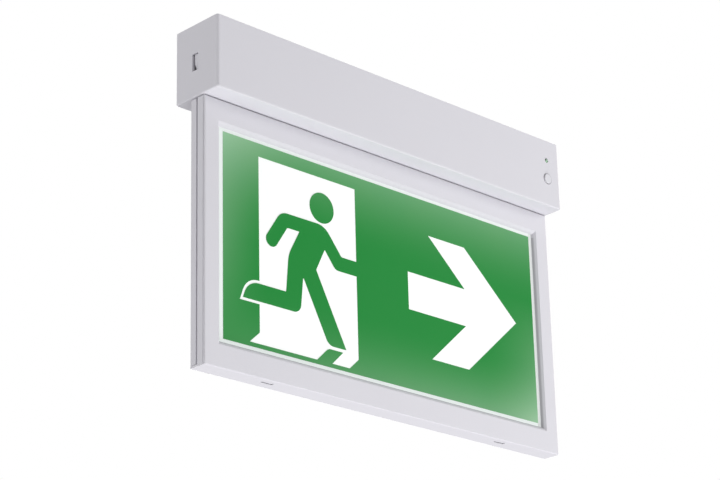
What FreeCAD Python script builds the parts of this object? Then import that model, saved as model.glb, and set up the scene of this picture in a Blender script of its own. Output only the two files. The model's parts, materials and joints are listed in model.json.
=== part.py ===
"""Ceiling-mounted emergency exit light with an edge-lit legend panel.

A shallow housing sits against the ceiling and holds the supply terminals, the
driver, the battery and the test button. An edge-lit sign hangs below it.
Units are millimetres. X runs along the sign, the legend faces -Y, and Z is up.
The origin is the middle of the face that meets the ceiling.
"""
import FreeCAD
import Part
import math
import os

V = FreeCAD.Vector
X_AXIS = V(1, 0, 0)
Y_AXIS = V(0, 1, 0)
Z_AXIS = V(0, 0, 1)

# ---- fits ----
fit_gap = 0.3
thread_gap = 0.1

# ---- housing cover ----
housing_length = 350.0
housing_depth = 45.0
housing_height = 55.0
cover_wall = 2.0
cover_floor = 2.0
cover_corner_r = 2.0
cover_bottom_r = 1.2
cover_rib = 1.2
cover_rib_depth = 1.4
cover_rib_height = 27.5
cover_rib_pitch = 30.0
cover_rib_count = 5

# ---- mounting plate ----
plate_thickness = 2.5
skirt_height = 4.0
skirt_wall = 1.6
ceiling_screw_from_end = 25.0
ceiling_slot_width = 5.0
ceiling_slot_length = 8.0
ceiling_pad_rise = 1.2
ceiling_pad_margin = 3.5
entry_from_screw = 27.0
entry_y = 9.0

# ---- snap latches between plate and cover, one at each end ----
latch_y = 1.2
latch_window_width = 6.2
latch_window_height = 13.0
latch_window_top = 22.0
latch_arm_width = 9.0
latch_arm_wall = 1.6
latch_arm_tail = 2.0
latch_foot = 8.0
latch_ramp = 5.2
latch_nib_width = 3.6
latch_nib_reach = 0.7

# ---- cable grommet ----
grommet_bore_r = 4.0
grommet_wall = 2.0
grommet_groove = 1.0
grommet_lip = 1.6
grommet_top_lip = 0.75
grommet_top_recess = 0.8

# ---- terminal block ----
terminal_ways = 3
terminal_pitch = 7.5
terminal_width = 14.0
terminal_height = 13.0
terminal_bevel = 0.8
terminal_groove = 0.8
terminal_groove_depth = 1.5
terminal_hole = 3.8
terminal_well = 4.6
terminal_screw_r = 1.9
terminal_screw_height = 2.0
terminal_slot = 0.7
terminal_slot_depth = 0.8

# ---- driver board and what it carries ----
board_before_terminal = 8.0
board_length = 170.0
board_thickness = 1.6
standoff_height = 5.5
standoff_width = 5.6
standoff_inset = 4.0
stake_width = 2.6
stake_head_width = 4.2
stake_head_height = 1.0
fuse_from_terminal = 3.0
fuse_length = 16.0
fuse_width = 5.2
fuse_cap = 0.3
fuse_cap_length = 4.0
transformer_from_fuse = 3.0
transformer_length = 20.0
transformer_width = 14.0
transformer_height = 17.0
core_inset = 2.0
winding_inset = 4.0
winding_r = 3.0
bobbin_foot = 3.0
capacitor_r = 4.5
capacitor_height = 14.0
capacitor_pitch = 10.5
capacitor_count = 2
capacitor_from_header = 3.0
chip_length = 5.0
chip_width = 4.0
chip_height = 1.6
chip_stand = 0.1
chip_bevel = 0.3
chip_foot_width = 0.5
chip_foot_height = 0.4
chip_foot_inset = 0.4
chip_pitch = 8.0
chip_count = 3
header_length = 8.0
header_width = 4.5
header_height = 7.0
header_from_end = 6.0
header_pitch = 10.0
plug_length = 6.4
plug_width = 3.6
plug_height = 4.9
plug_bevel = 0.6
plug_depth = 2.1

# ---- battery ----
battery_r = 7.5
battery_length = 150.0
battery_from_entry = 41.0
clip_wall = 1.2
clip_width = 10.0
clip_spacing = 90.0
clip_stem = 3.1
clip_mouth_angle = 100.0

# ---- test button and charge indicator ----
controls_from_end = 13.8
indicator_drop = 16.7
button_drop = 32.3
button_r = 3.9
button_proud = 0.8
button_edge_r = 0.4
button_flange = 1.1
button_flange_thickness = 1.0
button_travel = 0.8
plunger_r = 1.6
switch_size = 6.2
switch_depth = 3.5
switch_floor = 0.5
switch_bevel = 0.5
indicator_r = 1.5
indicator_rim = 0.4
indicator_dome = 1.1
indicator_tip_r = 0.8
indicator_collar = 1.0
indicator_leg = 0.5
indicator_length = 5.3
indicator_proud = 0.3
indicator_board_width = 19.0
indicator_board_above = 7.2
indicator_board_below = 11.2
boss_width = 5.6
boss_inset = 3.4

# ---- legend ----
legend_width = 310.0
legend_height = 150.0
side_margin = 3.5
end_margin = 2.6
film_thickness = 0.3

# ---- sign frame, counted from the legend outwards ----
reveal_width = 3.0
lip_flare = 1.3
side_border = 12.0
top_border = 15.9
bottom_border = 16.4
hang_gap = 0.5

# ---- layers of the sign, from the front to the back ----
bezel_thickness = 1.3
frame_lip = 1.6
diffuser_thickness = 1.2
guide_thickness = 4.0
reflector_thickness = 0.35
rear_rib_depth = 4.05
rear_wall = 2.0

# ---- sign shells ----
sign_wall = 1.6
frame_side_depth = 7.55
parting_groove = 1.4
shell_lip = 1.2
shell_lip_reach = 3.4
bezel_edge_r = 0.8
opening_edge_r = 0.4
shadow_width = 0.6
shadow_depth = 0.6
back_step = 0.2
back_step_depth = 2.85
bezel_peg_width = 2.4
bezel_peg_spacing = 223.0
rear_rib = 1.5
rear_rib_pitch = 56.0
rear_rib_count = 6
side_stop_length = 10.0
side_stop_pitch = 53.0
panel_overlap = 5.8
snap_spacing = 228.0
snap_length = 10.0
snap_width = 2.8
snap_from_front = 5.55
snap_recess = 0.5
snap_bevel = 0.6

# ---- light engine ----
channel_length = 320.0
channel_wall = 0.8
channel_web = 1.2
channel_drop = 7.5
channel_leg = 6.5
led_board_inset = 2.0
led_board_width = 4.5
led_board_thickness = 1.0
led_count = 18
led_pitch = 17.0
led_size = 2.8
led_height = 0.8
led_air_gap = 0.5
pad_length = 30.0
pad_height = 2.5
pad_spacing = 110.0
lead_notch_length = 6.0
lead_notch_width = 3.0

# ---- fixings and leads between housing and sign ----
screw_r = 1.3
screw_head_r = 2.4
screw_head_height = 1.6
hang_screw_from_middle = 110.0
hang_screw_length = 10.0
hang_boss_width = 5.2
hang_boss_height = 8.5
hang_boss_from_back = 2.35
lead_r = 0.8
led_lead_y = 3.0
led_lead_drop = 3.0
led_lead_rise = 12.0
led_lead_jog = 2.9
led_lead_below_wall = 2.4
battery_lead_reach = 10.0
battery_lead_drop = 13.0
battery_lead_sag = 3.0
control_lead_rise = 16.0
control_lead_reach = 50.0
control_lead_exit = 14.0
control_lead_sag = 2.0
bush_wall = 1.2
bush_flange = 1.0
bush_flange_height = 1.2
bush_passage = 4.6

# ---- planes worked out from the sizes above ----
housing_x = housing_length / 2
housing_y = housing_depth / 2
room_x = housing_x - cover_wall
room_y = housing_y - cover_wall
floor_top = cover_floor - housing_height
plate_x = room_x - fit_gap
plate_y = room_y - fit_gap
plate_under = -plate_thickness
skirt_x = plate_x - skirt_wall
skirt_y = plate_y - skirt_wall
inner_corner_r = max(cover_corner_r - cover_wall, 0)
plate_corner_r = max(inner_corner_r - fit_gap, 0)
slot_x = housing_x - ceiling_screw_from_end
entry_x = entry_from_screw - slot_x
grommet_r = grommet_bore_r + grommet_wall

sign_thickness = (bezel_thickness + frame_lip + diffuser_thickness + guide_thickness
                  + reflector_thickness + rear_rib_depth + rear_wall)
window_width = legend_width + 2 * side_margin
window_height = legend_height + 2 * end_margin
sign_x = window_width / 2 + reveal_width + side_border
sign_top = -housing_height - hang_gap
window_top = sign_top - top_border - reveal_width
window_bottom = window_top - window_height
sign_bottom = window_bottom - reveal_width - bottom_border
legend_z = (window_top + window_bottom) / 2

front_y = -sign_thickness / 2
frame_y = front_y + bezel_thickness
diffuser_y = frame_y + frame_lip
guide_y = diffuser_y + diffuser_thickness
reflector_y = guide_y + guide_thickness
rib_y = reflector_y + reflector_thickness
rear_wall_y = rib_y + rear_rib_depth
back_y = sign_thickness / 2
parting_front = front_y + frame_side_depth
parting_back = parting_front + parting_groove

panel_x = window_width / 2 + panel_overlap
panel_bottom = window_bottom - panel_overlap
channel_top = sign_top - channel_drop
led_board_top = channel_top - channel_web
led_top = led_board_top - led_board_thickness
guide_top = led_top - led_height - led_air_gap
channel_bottom = channel_top - channel_leg
channel_front = diffuser_y
channel_back = rib_y + channel_wall + thread_gap
diffuser_top = channel_bottom - fit_gap


# ---------------------------------------------------------------- helpers
def box(x0, x1, y0, y1, z0, z1):
    """A block between two corners."""
    return Part.makeBox(x1 - x0, y1 - y0, z1 - z0, V(x0, y0, z0))


def cylinder(radius, start, direction, length):
    """A round bar from a start point along a direction."""
    return Part.makeCylinder(radius, length, start, direction)


def mirrored(shape):
    """The shape and its copy on the other side of the X = 0 plane."""
    return [shape, shape.mirror(V(0, 0, 0), X_AXIS)]


def rounded_wire(points, to_space):
    """Closed wire through (a, b, radius) corners, each rounded by an arc."""
    corners = [V(a, b, 0) for a, b, _ in points]
    edges = []
    ends = []
    for i, (_, _, radius) in enumerate(points):
        here = corners[i]
        to_last = (corners[i - 1] - here).normalize()
        to_next = (corners[(i + 1) % len(corners)] - here).normalize()
        if radius == 0:
            ends.append((here, here))
            continue
        half = to_last.getAngle(to_next) / 2
        reach = radius / math.tan(half)
        middle = (to_last + to_next).normalize()
        start = here + to_last * reach
        stop = here + to_next * reach
        crown = here + middle * (radius / math.sin(half) - radius)
        edges.append(Part.Arc(to_space(start), to_space(crown), to_space(stop)).toShape())
        ends.append((start, stop))
    for i in range(len(points)):
        leave = ends[i][1]
        arrive = ends[(i + 1) % len(points)][0]
        if leave.distanceToPoint(arrive) > 1e-4:
            edges.append(Part.LineSegment(to_space(leave), to_space(arrive)).toShape())
    return Part.Wire(Part.__sortEdges__(edges))


def upright_face(points, y):
    """Face in the plane of the sign, from (x, z, radius) corners."""
    return Part.Face(rounded_wire(points, lambda p: V(p.x, y, p.y)))


def level_prism(points, z0, z1):
    """Prism standing on (x, y, radius) corners."""
    face = Part.Face(rounded_wire(points, lambda p: V(p.x, p.y, z0)))
    return face.extrude(V(0, 0, z1 - z0))


def cross_prism(points, x0, x1):
    """Prism along X from (y, z, radius) corners."""
    face = Part.Face(rounded_wire(points, lambda p: V(x0, p.x, p.y)))
    return face.extrude(V(x1 - x0, 0, 0))


def round_block(x, y, z0, z1, radius):
    """Block centred on the Z axis with rounded upright edges."""
    return level_prism([(-x, -y, radius), (x, -y, radius), (x, y, radius), (-x, y, radius)], z0, z1)


def upright_plate(x, z_top, z_bottom, y0, y1, radius=0.0):
    """Plate in the plane of the sign, centred on X = 0."""
    corners = [(-x, z_bottom, radius), (x, z_bottom, radius), (x, z_top, radius), (-x, z_top, radius)]
    return upright_face(corners, y0).extrude(V(0, y1 - y0, 0))


def turned(profile, base, axis):
    """Solid of revolution from (radius, height) points about an axis."""
    points = [V(radius, 0, height) for radius, height in profile]
    face = Part.Face(Part.makePolygon(points + points[:1]))
    solid = face.revolve(V(0, 0, 0), Z_AXIS, 360)
    solid.Placement = FreeCAD.Placement(base, FreeCAD.Rotation(Z_AXIS, axis))
    return solid


def near(value, target):
    return abs(value - target) < 1e-3


def edges_where(shape, test):
    """Edges whose middle point passes a test."""
    return [e for e in shape.Edges if test(e.CenterOfMass)]


def polygon(radius, sides, centre, direction):
    """Closed regular outline about a centre, square to a direction."""
    across = Y_AXIS if abs(direction.y) < 0.5 else X_AXIS
    first = direction.cross(across).normalize() * radius
    turn = 360 / sides
    corners = [centre + FreeCAD.Rotation(direction, i * turn).multVec(first) for i in range(sides)]
    return Part.makePolygon(corners + corners[:1])


def screw(seat, direction, length):
    """Hex-head screw; the seat is under its head and the shank follows the direction."""
    head = Part.Face(polygon(screw_head_r, 6, seat, direction)).extrude(direction * -screw_head_height)
    return head.fuse(cylinder(screw_r, seat, direction, length))


def square_bar(width, start, direction, length):
    """Square bar from a start point along a direction."""
    corners = polygon(width / math.sqrt(2), 4, start, direction)
    bar = Part.Face(corners).extrude(direction * length)
    return bar.rotate(start, direction, 45)


def staked_post(width, start, direction, length):
    """Post that carries a board at its end, with a peg through it and a formed head."""
    end = start + direction * length
    peg = square_bar(stake_width, end - direction, direction, board_thickness + 1 + stake_head_height)
    head = square_bar(stake_head_width, end + direction * board_thickness, direction, stake_head_height)
    return square_bar(width, start, direction, length).fuse([peg, head])


def stake_hole(seat, direction):
    """Hole for a peg through a board that is met at the seat."""
    return square_bar(stake_width + 2 * thread_gap, seat - direction, direction, board_thickness + 2)


LEAD_SIDES = 4


def lead(name, points, radius):
    """Insulated lead of square section, along straight runs joined by tangent arcs."""
    start = points[0]
    section = Part.Face(polygon(radius, LEAD_SIDES, start, (points[1] - start).normalize()))
    area = section.Area
    length = 0
    radii = []
    pieces = []
    for before, here, after in zip(points, points[1:], points[2:]):
        back = (before - here).normalize()
        ahead = (after - here).normalize()
        turn = math.pi - back.getAngle(ahead)
        reach = 0.45 * min(here.distanceToPoint(before), here.distanceToPoint(after))
        bend = reach / math.tan(turn / 2)
        enter = here + back * reach
        centre = here + (back + ahead).normalize() * (bend / math.cos(turn / 2))
        axis = ahead.cross(back).normalize()
        pieces.append(section.extrude(enter - start))
        section.translate(enter - start)
        pieces.append(section.revolve(centre, axis, math.degrees(turn)))
        section.rotate(centre, axis, math.degrees(turn))
        radii.append(round(bend, 1))
        length += start.distanceToPoint(enter) + bend * turn
        start = here + ahead * reach
    pieces.append(section.extrude(points[-1] - start))
    length += start.distanceToPoint(points[-1])
    tube = pieces[0].fuse(pieces[1:]).removeSplitter()
    share = tube.Volume / (area * length)
    print(name, "length", round(length, 1), "bend radii", radii, "volume share", round(share, 4))
    return tube


# ---------------------------------------------------------------- housing
controls_x = housing_x - controls_from_end
indicator_z = -indicator_drop
button_z = -button_drop
flange_front = fit_gap - room_y
flange_back = flange_front + button_flange_thickness
switch_front = flange_back + button_travel + fit_gap
controls_board_front = switch_front + switch_depth
controls_board_back = controls_board_front + board_thickness
controls_board_left = controls_x - indicator_board_width / 2
controls_board_right = controls_x + indicator_board_width / 2
controls_board_top = indicator_z + indicator_board_above
controls_board_bottom = button_z - indicator_board_below
controls_posts = [(controls_board_right - boss_inset, controls_board_top - boss_inset),
                  (controls_board_left + boss_inset, controls_board_bottom + boss_inset)]
controls_header_left = controls_x - header_length / 2
controls_header_y = controls_board_back + header_width / 2
controls_header_z = (indicator_z + button_z) / 2
hang_y = back_y - hang_boss_from_back
hang_screw_places = [-hang_screw_from_middle, hang_screw_from_middle]
hang_boss_places = hang_screw_places + [0]
terminal_left = entry_x - terminal_ways * terminal_pitch / 2
terminal_right = entry_x + terminal_ways * terminal_pitch / 2
board_left = terminal_left - board_before_terminal
board_right = board_left + board_length
header_x = board_right - header_from_end
bush_bore_r = lead_r + fit_gap
bush_neck_r = bush_bore_r + bush_wall
bush_flange_r = bush_neck_r + bush_flange


def make_housing_cover():
    """Open-topped moulding with snap windows, control holes, bosses and ribs."""
    cover = round_block(housing_x, housing_y, -housing_height, 0, cover_corner_r)
    cover = cover.makeFillet(cover_bottom_r, edges_where(cover, lambda c: near(c.z, -housing_height)))
    cover = cover.cut(round_block(room_x, room_y, floor_top, 1, inner_corner_r))
    root = cover_wall / 2
    added = []
    for i in range(cover_rib_count):
        x = cover_rib_pitch * (i - (cover_rib_count - 1) / 2)
        for y0, y1 in ((-room_y - root, cover_rib_depth - room_y), (room_y - cover_rib_depth, room_y + root)):
            added.append(box(x - cover_rib / 2, x + cover_rib / 2, y0, y1, floor_top - cover_floor / 2,
                             floor_top + cover_rib_height))
    for x, z in controls_posts:
        added.append(staked_post(boss_width, V(x, -room_y - root, z), Y_AXIS,
                                 controls_board_front + room_y + root))
    half = latch_window_width / 2
    cuts = mirrored(box(room_x - 1, housing_x + 1, latch_y - half, latch_y + half,
                        -latch_window_top - latch_window_height, -latch_window_top))
    cuts.append(cylinder(indicator_r + fit_gap, V(controls_x, -housing_y - 1, indicator_z), Y_AXIS,
                         cover_wall + 2))
    cuts.append(cylinder(button_r + fit_gap, V(controls_x, -housing_y - 1, button_z), Y_AXIS,
                         cover_wall + 2))
    for x in hang_screw_places:
        cuts.append(cylinder(screw_r + fit_gap, V(x, hang_y, -housing_height - 1), Z_AXIS, cover_floor + 2))
    cuts.append(cylinder(bush_neck_r, V(header_x, led_lead_y, -housing_height - 1), Z_AXIS, cover_floor + 2))
    return cover.fuse(added).cut(cuts).removeSplitter()


def make_mounting_plate():
    """Ceiling plate with skirt, screw slots, cable entry and board posts."""
    plate = round_block(plate_x, plate_y, plate_under - skirt_height, 0, plate_corner_r)
    plate = plate.cut(box(-skirt_x, skirt_x, -skirt_y, skirt_y, plate_under - skirt_height - 1, plate_under))
    root = plate_under + plate_thickness / 2
    pad_x = ceiling_slot_length / 2 + ceiling_pad_margin
    pad_y = ceiling_slot_width / 2 + ceiling_pad_margin
    slot_end = ceiling_slot_width / 2
    added = []
    cuts = []
    for x in (-slot_x, slot_x):
        added.append(box(x - pad_x, x + pad_x, -pad_y, pad_y, plate_under - ceiling_pad_rise, root))
        slot = round_block(ceiling_slot_length / 2, slot_end, plate_under - ceiling_pad_rise - 1, 1, slot_end)
        slot.translate(V(x, 0, 0))
        cuts.append(slot)
    down = V(0, 0, -1)
    for x, y in driver_post_places():
        added.append(staked_post(standoff_width, V(x, y, root), down, root - board_top))
    cuts.append(cylinder(grommet_r - grommet_groove, V(entry_x, entry_y, 1), down, plate_thickness + 2))
    cuts.append(cylinder(grommet_r + fit_gap, V(entry_x, entry_y, 1), down,
                         1 + grommet_top_recess + grommet_top_lip))
    return plate.fuse(added).cut(cuts).removeSplitter()


def make_snap_latches():
    """Footed snap arms inside the ends of the plate's skirt, with ramped nibs that carry the cover."""
    half = latch_arm_width / 2
    window_bottom_z = -latch_window_top - latch_window_height
    arm = box(skirt_x - latch_arm_wall, skirt_x, latch_y - half, latch_y + half,
              window_bottom_z - latch_arm_tail, plate_under)
    foot = box(skirt_x - latch_foot, skirt_x - latch_arm_wall / 2, latch_y - half, latch_y + half,
               plate_under - latch_arm_wall, plate_under)
    nib_x = room_x + latch_nib_reach
    nib_top = -latch_window_top - fit_gap
    nib_bottom = fit_gap + window_bottom_z
    ramp_start = nib_bottom + latch_ramp
    corners = [V(skirt_x - latch_arm_wall / 2, 0, nib_top), V(nib_x, 0, nib_top), V(nib_x, 0, ramp_start),
               V(skirt_x, 0, nib_bottom), V(skirt_x - latch_arm_wall / 2, 0, nib_bottom)]
    nib = Part.Face(Part.makePolygon(corners + corners[:1])).extrude(V(0, latch_nib_width, 0))
    nib.translate(V(0, latch_y - latch_nib_width / 2, 0))
    return Part.makeCompound(mirrored(arm.fuse([foot, nib]).removeSplitter()))


def make_cable_grommet():
    """Rubber grommet seated in the cable entry, below the ceiling face."""
    neck = grommet_r - grommet_groove - thread_gap
    top = -grommet_top_recess
    web_top = top - grommet_top_lip
    bottom = plate_under - grommet_lip
    profile = [(grommet_bore_r, top), (grommet_r, top), (grommet_r, web_top), (neck, web_top),
               (neck, plate_under), (grommet_r, plate_under), (grommet_r, bottom), (grommet_bore_r, bottom)]
    return turned(profile, V(entry_x, entry_y, 0), Z_AXIS)


# ---------------------------------------------------------------- battery
clip_inner_r = battery_r + thread_gap
clip_outer_r = clip_inner_r + clip_wall
battery_y = skirt_y - clip_outer_r - fit_gap
battery_z = plate_under - clip_stem - clip_outer_r
battery_left = entry_x + battery_from_entry
battery_right = battery_left + battery_length
battery_middle = (battery_left + battery_right) / 2


def make_battery_pack():
    """Stick of cells in one shrink wrap."""
    return cylinder(battery_r, V(battery_left, battery_y, battery_z), X_AXIS, battery_length)


def make_battery_clips():
    """Two spring clips, open below, on stems under the mounting plate."""
    clips = []
    for side in (-1, 1):
        x = battery_middle + side * clip_spacing / 2 - clip_width / 2
        start = V(x, battery_y, battery_z)
        ring = cylinder(clip_outer_r, start, X_AXIS, clip_width)
        stem = box(x, x + clip_width, battery_y - clip_outer_r / 2, battery_y + clip_outer_r / 2,
                   battery_z, plate_under)
        bore = cylinder(clip_inner_r, start - X_AXIS, X_AXIS, clip_width + 2)
        reach = 2 * clip_outer_r
        spread = reach * math.tan(math.radians(clip_mouth_angle / 2))
        mouth = [V(x - 1, battery_y, battery_z), V(x - 1, battery_y - spread, battery_z - reach),
                 V(x - 1, battery_y + spread, battery_z - reach)]
        wedge = Part.Face(Part.makePolygon(mouth + mouth[:1])).extrude(V(clip_width + 2, 0, 0))
        clips.append(ring.fuse(stem).cut([bore, wedge]).removeSplitter())
    return Part.makeCompound(clips)


# ---------------------------------------------------------------- driver board
board_front = fit_gap * 2 - skirt_y
board_back = battery_y - clip_outer_r - fit_gap
board_y = (board_front + board_back) / 2
board_top = plate_under - standoff_height
board_under = board_top - board_thickness
header_bottom = board_under - header_height
socket_z = header_bottom + header_height / 2
lead_pocket = lead_r + thread_gap
fuse_left = terminal_right + fuse_from_terminal
fuse_right = fuse_left + fuse_length
battery_header_x = header_x - header_pitch
control_header_x = header_x - header_pitch * 2


def driver_post_places():
    """The four posts of the driver board."""
    xs = (board_left + standoff_inset, board_right - standoff_inset)
    ys = (board_front + standoff_inset, board_back - standoff_inset)
    return [(x, y) for x in xs for y in ys]


def make_driver_board():
    """Printed circuit board hung under the mounting plate on four posts."""
    board = box(board_left, board_right, board_front, board_back, board_under, board_top)
    return board.cut([stake_hole(V(x, y, board_top), V(0, 0, -1)) for x, y in driver_post_places()])


def make_transformer():
    """Ferrite core around a wound bobbin that stands on a foot."""
    x0 = fuse_right + transformer_from_fuse
    x1 = x0 + transformer_length
    y0 = board_y - transformer_width / 2
    y1 = y0 + transformer_width
    bottom = board_under - transformer_height
    foot_z = board_under - bobbin_foot
    foot_inset = core_inset / 2
    core = box(x0, x1, y0 + core_inset, y1 - core_inset, bottom, foot_z)
    winding = level_prism([(x0 + winding_inset, y0, winding_r), (x1 - winding_inset, y0, winding_r),
                           (x1 - winding_inset, y1, winding_r), (x0 + winding_inset, y1, winding_r)],
                          bottom + winding_inset, foot_z)
    foot = box(x0 + foot_inset, x1 - foot_inset, y0 + foot_inset, y1 - foot_inset, foot_z, board_under)
    return core.fuse([winding, foot]).removeSplitter()


def make_capacitors():
    """A row of can capacitors hanging from the board, beside the sockets."""
    cans = []
    first = control_header_x - header_length / 2 - capacitor_from_header - capacitor_r
    for i in range(capacitor_count):
        cans.append(cylinder(capacitor_r, V(first - i * capacitor_pitch, board_y, board_under), V(0, 0, -1),
                             capacitor_height))
    return Part.makeCompound(cans)


def make_driver_chips():
    """Surface-mounted packages on top of the board, facing the plate."""
    chips = []
    top = board_top + chip_height
    for i in range(chip_count):
        x = (board_left + board_right) / 2 + (i - (chip_count - 1) / 2) * chip_pitch
        x0 = x - chip_length / 2
        x1 = x + chip_length / 2
        body = box(x0, x1, board_y - chip_width / 2, board_y + chip_width / 2, board_top + chip_stand, top)
        body = body.makeChamfer(chip_bevel, edges_where(body, lambda c: near(c.z, top)))
        feet = [box(x0 + chip_foot_inset, x1 - chip_foot_inset, y - chip_foot_width, y + chip_foot_width,
                    board_top, board_top + chip_foot_height)
                for y in (board_y - chip_width / 2, board_y + chip_width / 2)]
        chips.append(body.fuse(feet))
    return Part.makeCompound(chips)


def make_fuse():
    """Square ceramic fuse with two end caps, lying against the board."""
    half = fuse_width / 2
    cap_half = half + fuse_cap
    body = box(fuse_left, fuse_right, board_y - half, board_y + half, board_under - fuse_width - fuse_cap,
               board_under - fuse_cap)
    caps = [box(cap_x, cap_x + fuse_cap_length, board_y - cap_half, board_y + cap_half,
                board_under - 2 * cap_half, board_under)
            for cap_x in (fuse_left, fuse_right - fuse_cap_length)]
    return body.fuse(caps).removeSplitter()


def make_board_headers():
    """Three sockets under the driver board and one behind the control board."""
    blocks = []
    half = header_width / 2
    for x in (header_x, battery_header_x, control_header_x):
        block = box(x - header_length / 2, x + header_length / 2, board_y - half, board_y + half,
                    header_bottom, board_under)
        blocks.append(block.cut(box(x - lead_pocket, x + lead_pocket, board_y - lead_pocket,
                                    board_y + lead_pocket, header_bottom - 1, socket_z)))
    block = box(controls_header_left, controls_header_left + header_length, controls_board_back,
                controls_board_back + header_width, controls_header_z - half, controls_header_z + half)
    blocks.append(block.cut(box(controls_header_left - 1, controls_x, controls_header_y - lead_pocket,
                                controls_header_y + lead_pocket, controls_header_z - lead_pocket,
                                controls_header_z + lead_pocket)))
    return Part.makeCompound(blocks)


def make_battery_plug():
    """Plug of the battery lead, pushed up under its socket."""
    bottom = header_bottom - plug_height
    plug = box(battery_header_x - plug_length / 2, battery_header_x + plug_length / 2,
               board_y - plug_width / 2, board_y + plug_width / 2, bottom, header_bottom)
    plug = plug.makeChamfer(plug_bevel, edges_where(plug, lambda c: near(c.z, bottom)))
    return plug.cut(box(battery_header_x - lead_pocket, battery_header_x + lead_pocket,
                        board_y - lead_pocket, board_y + lead_pocket, bottom - 1, bottom + plug_depth))


# ---------------------------------------------------------------- supply
terminal_y = board_front + terminal_width / 2
terminal_bottom = board_under - terminal_height
terminal_z = (board_under + terminal_bottom) / 2
terminal_places = [entry_x + terminal_pitch * (i - (terminal_ways - 1) / 2) for i in range(terminal_ways)]


def make_terminal_block():
    """Block under the board, with a wire hole through each way and a screw well below it."""
    half_y = terminal_width / 2
    half_hole = terminal_hole / 2
    half_well = terminal_well / 2
    front = terminal_y - half_y - 1
    back = terminal_y + half_y + 1
    block = box(terminal_left, terminal_right, terminal_y - half_y, terminal_y + half_y,
                terminal_bottom, board_under)
    block = block.makeChamfer(terminal_bevel, edges_where(block, lambda c: near(c.z, terminal_bottom)))
    cuts = []
    for x in terminal_places:
        cuts.append(box(x - half_hole, x + half_hole, front, back, terminal_z - half_hole,
                        terminal_z + half_hole))
        cuts.append(box(x - half_well, x + half_well, terminal_y - half_well, terminal_y + half_well,
                        terminal_bottom - 1, terminal_z))
    half_groove = terminal_groove / 2
    for x in terminal_places[1:]:
        groove = x - terminal_pitch / 2
        cuts.append(box(groove - half_groove, groove + half_groove, front, back, terminal_bottom - 1,
                        terminal_bottom + terminal_groove_depth))
    return block.cut(cuts)


def make_terminal_screws():
    """Slotted clamp screws in the terminal wells."""
    screws = []
    seat = terminal_z - terminal_hole / 2 - terminal_screw_height
    for x in terminal_places:
        bar = cylinder(terminal_screw_r, V(x, terminal_y, seat), Z_AXIS, terminal_screw_height)
        half = terminal_slot / 2
        cut = box(x - terminal_screw_r, x + terminal_screw_r, terminal_y - half, terminal_y + half,
                  seat - 1, seat + terminal_slot_depth)
        screws.append(bar.cut(cut))
    return Part.makeCompound(screws)


# ---------------------------------------------------------------- controls
def make_indicator_board():
    """Small upright board behind the front wall, for the indicator and the switch."""
    board = box(controls_board_left, controls_board_right, controls_board_front, controls_board_back,
                controls_board_bottom, controls_board_top)
    return board.cut([stake_hole(V(x, controls_board_front, z), Y_AXIS) for x, z in controls_posts])


def make_indicator_led():
    """Domed indicator lamp on two legs."""
    tip = -housing_y - indicator_proud
    r = indicator_r
    rim_r = r + indicator_rim
    base_y = tip + indicator_length
    shoulder = indicator_length - indicator_dome
    profile = [(0, 0), (rim_r, 0), (rim_r, indicator_collar), (r, indicator_collar), (r, shoulder),
               (indicator_tip_r, indicator_length), (0, indicator_length)]
    lamp = turned(profile, V(controls_x, base_y, indicator_z), V(0, -1, 0))
    half = indicator_leg / 2
    legs = [box(x - half, x + half, base_y - indicator_collar / 2, controls_board_front,
                indicator_z - half, indicator_z + half)
            for x in (controls_x - r / 2, controls_x + r / 2)]
    return lamp.fuse(legs)


def make_switch_body():
    """Push switch on the control board, with a bore for its plunger."""
    half = switch_size / 2
    body = box(controls_x - half, controls_x + half, switch_front, controls_board_front,
               button_z - half, button_z + half)
    body = body.makeChamfer(switch_bevel, edges_where(body, lambda c: near(c.y, switch_front)))
    bore = cylinder(plunger_r + fit_gap, V(controls_x, switch_front - 1, button_z), Y_AXIS,
                    switch_depth - switch_floor + 1)
    return body.cut(bore)


def make_switch_plunger():
    """Plunger between the button cap and the switch."""
    end = controls_board_front - switch_floor - button_travel - fit_gap
    return cylinder(plunger_r, V(controls_x, flange_back, button_z), Y_AXIS, end - flange_back)


def make_test_button_cap():
    """Round button with a flange that keeps it behind the wall."""
    front = -housing_y - button_proud
    profile = [(0, 0), (button_r - button_edge_r, 0), (button_r, button_edge_r),
               (button_r, flange_front - front), (button_r + button_flange, flange_front - front),
               (button_r + button_flange, flange_back - front), (0, flange_back - front)]
    return turned(profile, V(controls_x, front, button_z), Y_AXIS)


# ---------------------------------------------------------------- sign shells
def make_front_bezel():
    """Flat front ring with a flared opening, rounded rims and pegs on its back."""
    opening_x = window_width / 2 + reveal_width
    opening_top = window_top + reveal_width
    opening_bottom = window_bottom - reveal_width
    bezel = upright_plate(sign_x, sign_top, sign_bottom, front_y, frame_y)
    rims = edges_where(bezel, lambda c: near(c.y, front_y))
    bezel = bezel.makeFillet(bezel_edge_r, rims)
    bezel = bezel.cut(flared_hole(lip_flare, reveal_width - lip_flare, front_y, frame_y))
    inner_rims = edges_where(bezel, lambda c: near(c.y, front_y) and abs(c.x) < opening_x + 0.1
                             and opening_bottom - 0.1 < c.z < opening_top + 0.1)
    bezel = bezel.makeFillet(opening_edge_r, inner_rims)
    pegs = peg_blocks(bezel_peg_width / 2, frame_y - bezel_thickness / 2, diffuser_y)
    return bezel.fuse(pegs)


def flared_hole(past_window, flare, y0, y1):
    """The window widened by past_window at its back and by flare more at its front, cut past both faces."""
    slope = flare / (y1 - y0)
    front = past_window + flare + slope
    back = past_window - slope
    x = window_width / 2
    return Part.makeWedge(-x - front, y0 - 1, window_bottom - front, window_bottom - back, -x - back,
                          x + front, y1 + 1, window_top + front, window_top + back, x + back)


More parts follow.
